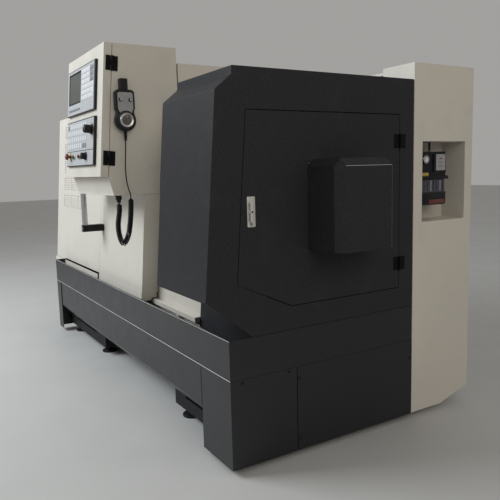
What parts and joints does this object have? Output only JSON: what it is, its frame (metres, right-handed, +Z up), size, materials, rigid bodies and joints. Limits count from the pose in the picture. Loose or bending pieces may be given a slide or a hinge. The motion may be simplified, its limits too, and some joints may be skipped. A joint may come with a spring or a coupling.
{
  "type": "cnc turning lathe",
  "caption": "Enclosed turning lathe with a chip pan base, a sliding guard that carries its control cabinet and hand pendant, and a hinged end door.",
  "frame": {"origin": "middle of the footprint box, on the floor under the levelling feet", "axes": "+Z up, +X along the bed from the headstock to the tailstock, +Y from the operator's side to the rear"},
  "size_m": [3.625, 1.7118, 2.089],
  "materials": {
    "cream_paint": "satin",
    "charcoal_paint": "fine orange-peel, satin",
    "base_paint": "fine texture, satin",
    "cast_paint": "satin over a casting",
    "ground_steel": "ground",
    "brushed_steel": "brushed",
    "black_plastic": "matte",
    "hinge_black": "matte",
    "panel_grey": "satin",
    "stop_red": "gloss",
    "start_green": "gloss",
    "reservoir_plastic": "translucent look",
    "cord_rubber": "matte"
  },
  "bodies": {
    "base": {"chip_pan": "base_paint", "front_skirt": "base_paint", "right_leg_cover": "base_paint", "left_leg_cover": "base_paint", "end_lower_panel": "base_paint", "rear_skirt": "base_paint", "left_pedestal": "cast_paint", "right_pedestal": "cast_paint", "bed": "cast_paint", "headstock": "cast_paint", "end_cover": "charcoal_paint", "door_hinge_upper_fixed_leaf": "hinge_black", "door_hinge_lower_fixed_leaf": "hinge_black", "service_column": "cream_paint", "electrical_cabinet": "cream_paint", "lube_pump_head": "black_plastic", "lube_reservoir": "reservoir_plastic", "headstock_cover": "cream_paint", "roof_hood": "cream_paint", "inner_guard_panel": "cream_paint", "guard_rail": "ground_steel"},
    "guard": {"sliding_guard": "cream_paint", "control_cabinet": "cream_paint", "handle_grip": "brushed_steel", "handle_arm_lower": "black_plastic", "handle_arm_upper": "black_plastic", "pendant_clip": "black_plastic", "pendant": "black_plastic", "pendant_plug": "black_plastic", "pendant_lead": "cord_rubber", "pendant_coil": "cord_rubber", "lid_hinge_upper_fixed_leaf": "hinge_black", "lid_hinge_lower_fixed_leaf": "hinge_black"},
    "lid": {"control_lid": "cream_paint", "lid_hinge_upper_moving_leaf": "hinge_black", "lid_hinge_lower_moving_leaf": "hinge_black", "screen_unit": "panel_grey", "operator_panel": "panel_grey"},
    "end_door": {"end_door": "charcoal_paint", "door_hinge_upper_moving_leaf": "hinge_black", "door_hinge_lower_moving_leaf": "hinge_black"},
    "door_latch": {"door_latch": "brushed_steel"},
    "spindle": {"spindle": "ground_steel", "chuck": "ground_steel"},
    "saddle": {"saddle": "cast_paint"},
    "cross_slide": {"cross_slide": "cast_paint"},
    "tool_post": {"tool_post": "cast_paint"},
    "tailstock": {"tailstock": "cast_paint"},
    "quill": {"tailstock_quill": "ground_steel"},
    "jaw_1": {"chuck_jaw_1": "ground_steel"},
    "jaw_2": {"chuck_jaw_2": "ground_steel"},
    "jaw_3": {"chuck_jaw_3": "ground_steel"},
    "emergency_stop": {"emergency_stop": "stop_red"},
    "start_button": {"start_button": "start_green"},
    "stop_button": {"stop_button": "stop_red"},
    "mode_knob": {"mode_knob": "black_plastic"},
    "override_knob": {"override_knob": "black_plastic"},
    "pendant_wheel": {"pendant_wheel": "ground_steel"},
    "axis_selector": {"axis_selector": "black_plastic"},
    "rate_selector": {"rate_selector": "black_plastic"}
  },
  "joints": [
    {"name": "guard_slide", "type": "slide", "parent": "base", "child": "guard", "axis": [1, 0, 0], "range_m": [0, 0.6]},
    {"name": "control_lid_hinge", "type": "hinge", "parent": "guard", "child": "lid", "pos_m": [0.3396, -0.76184, 1.326], "axis": [0, 0.0872, 0.9962], "range_deg": [0, 105]},
    {"name": "end_door_hinge", "type": "hinge", "parent": "base", "child": "end_door", "pos_m": [1.5953, 0.31262, 0.854], "axis": [0, 0, 1], "range_deg": [0, 110]},
    {"name": "door_latch_turn", "type": "hinge", "parent": "end_door", "child": "door_latch", "pos_m": [1.5875, -0.56413, 1.166], "axis": [1, 0, 0], "range_deg": [0, 90]},
    {"name": "spindle_spin", "type": "hinge", "parent": "base", "child": "spindle", "pos_m": [-0.6485, -0.0461, 1.12], "axis": [1, 0, 0], "continuous": true},
    {"name": "jaw_1_slide", "type": "slide", "parent": "spindle", "child": "jaw_1", "axis": [0, 0, -1], "range_m": [0, 0.0044]},
    {"name": "jaw_2_slide", "type": "slide", "parent": "spindle", "child": "jaw_2", "axis": [0, 0.866, 0.5], "range_m": [0, 0.0044]},
    {"name": "jaw_3_slide", "type": "slide", "parent": "spindle", "child": "jaw_3", "axis": [0, -0.866, 0.5], "range_m": [0, 0.0044]},
    {"name": "saddle_slide", "type": "slide", "parent": "base", "child": "saddle", "axis": [1, 0, 0], "range_m": [-0.5, 0]},
    {"name": "cross_slide_slide", "type": "slide", "parent": "saddle", "child": "cross_slide", "axis": [0, 1, 0], "range_m": [0, 0.18]},
    {"name": "tool_post_index", "type": "hinge", "parent": "cross_slide", "child": "tool_post", "pos_m": [0.3375, -0.28113, 0.995], "axis": [0, 0, 1], "continuous": true},
    {"name": "tailstock_slide", "type": "slide", "parent": "base", "child": "tailstock", "axis": [1, 0, 0], "range_m": [-0.25, 0]},
    {"name": "quill_slide", "type": "slide", "parent": "tailstock", "child": "quill", "axis": [-1, 0, 0], "range_m": [0, 0.1]},
    {"name": "emergency_stop_press", "type": "slide", "parent": "lid", "child": "emergency_stop", "axis": [0, 0.9962, -0.0872], "range_m": [0, 0.005], "stiffness_N_per_m": 800},
    {"name": "start_button_press", "type": "slide", "parent": "lid", "child": "start_button", "axis": [0, 0.9962, -0.0872], "range_m": [0, 0.004], "stiffness_N_per_m": 500},
    {"name": "stop_button_press", "type": "slide", "parent": "lid", "child": "stop_button", "axis": [0, 0.9962, -0.0872], "range_m": [0, 0.004], "stiffness_N_per_m": 500},
    {"name": "mode_knob_turn", "type": "hinge", "parent": "lid", "child": "mode_knob", "pos_m": [0.0775, -0.8142, 1.45508], "axis": [0, -0.9962, 0.0872], "range_deg": [-90, 90]},
    {"name": "override_knob_turn", "type": "hinge", "parent": "lid", "child": "override_knob", "pos_m": [0.1925, -0.80066, 1.60987], "axis": [0, -0.9962, 0.0872], "range_deg": [-135, 135]},
    {"name": "pendant_wheel_spin", "type": "hinge", "parent": "guard", "child": "pendant_wheel", "pos_m": [0.3778, -0.65213, 1.648], "axis": [1, 0, 0], "continuous": true},
    {"name": "axis_selector_turn", "type": "hinge", "parent": "guard", "child": "axis_selector", "pos_m": [0.3778, -0.68113, 1.764], "axis": [1, 0, 0], "range_deg": [-60, 60]},
    {"name": "rate_selector_turn", "type": "hinge", "parent": "guard", "child": "rate_selector", "pos_m": [0.3778, -0.62313, 1.764], "axis": [1, 0, 0], "range_deg": [-45, 45]}
  ],
  "couplings": [
    {"joint": "jaw_2_slide", "follows": "jaw_1_slide", "ratio": 1},
    {"joint": "jaw_3_slide", "follows": "jaw_1_slide", "ratio": 1}
  ]
}
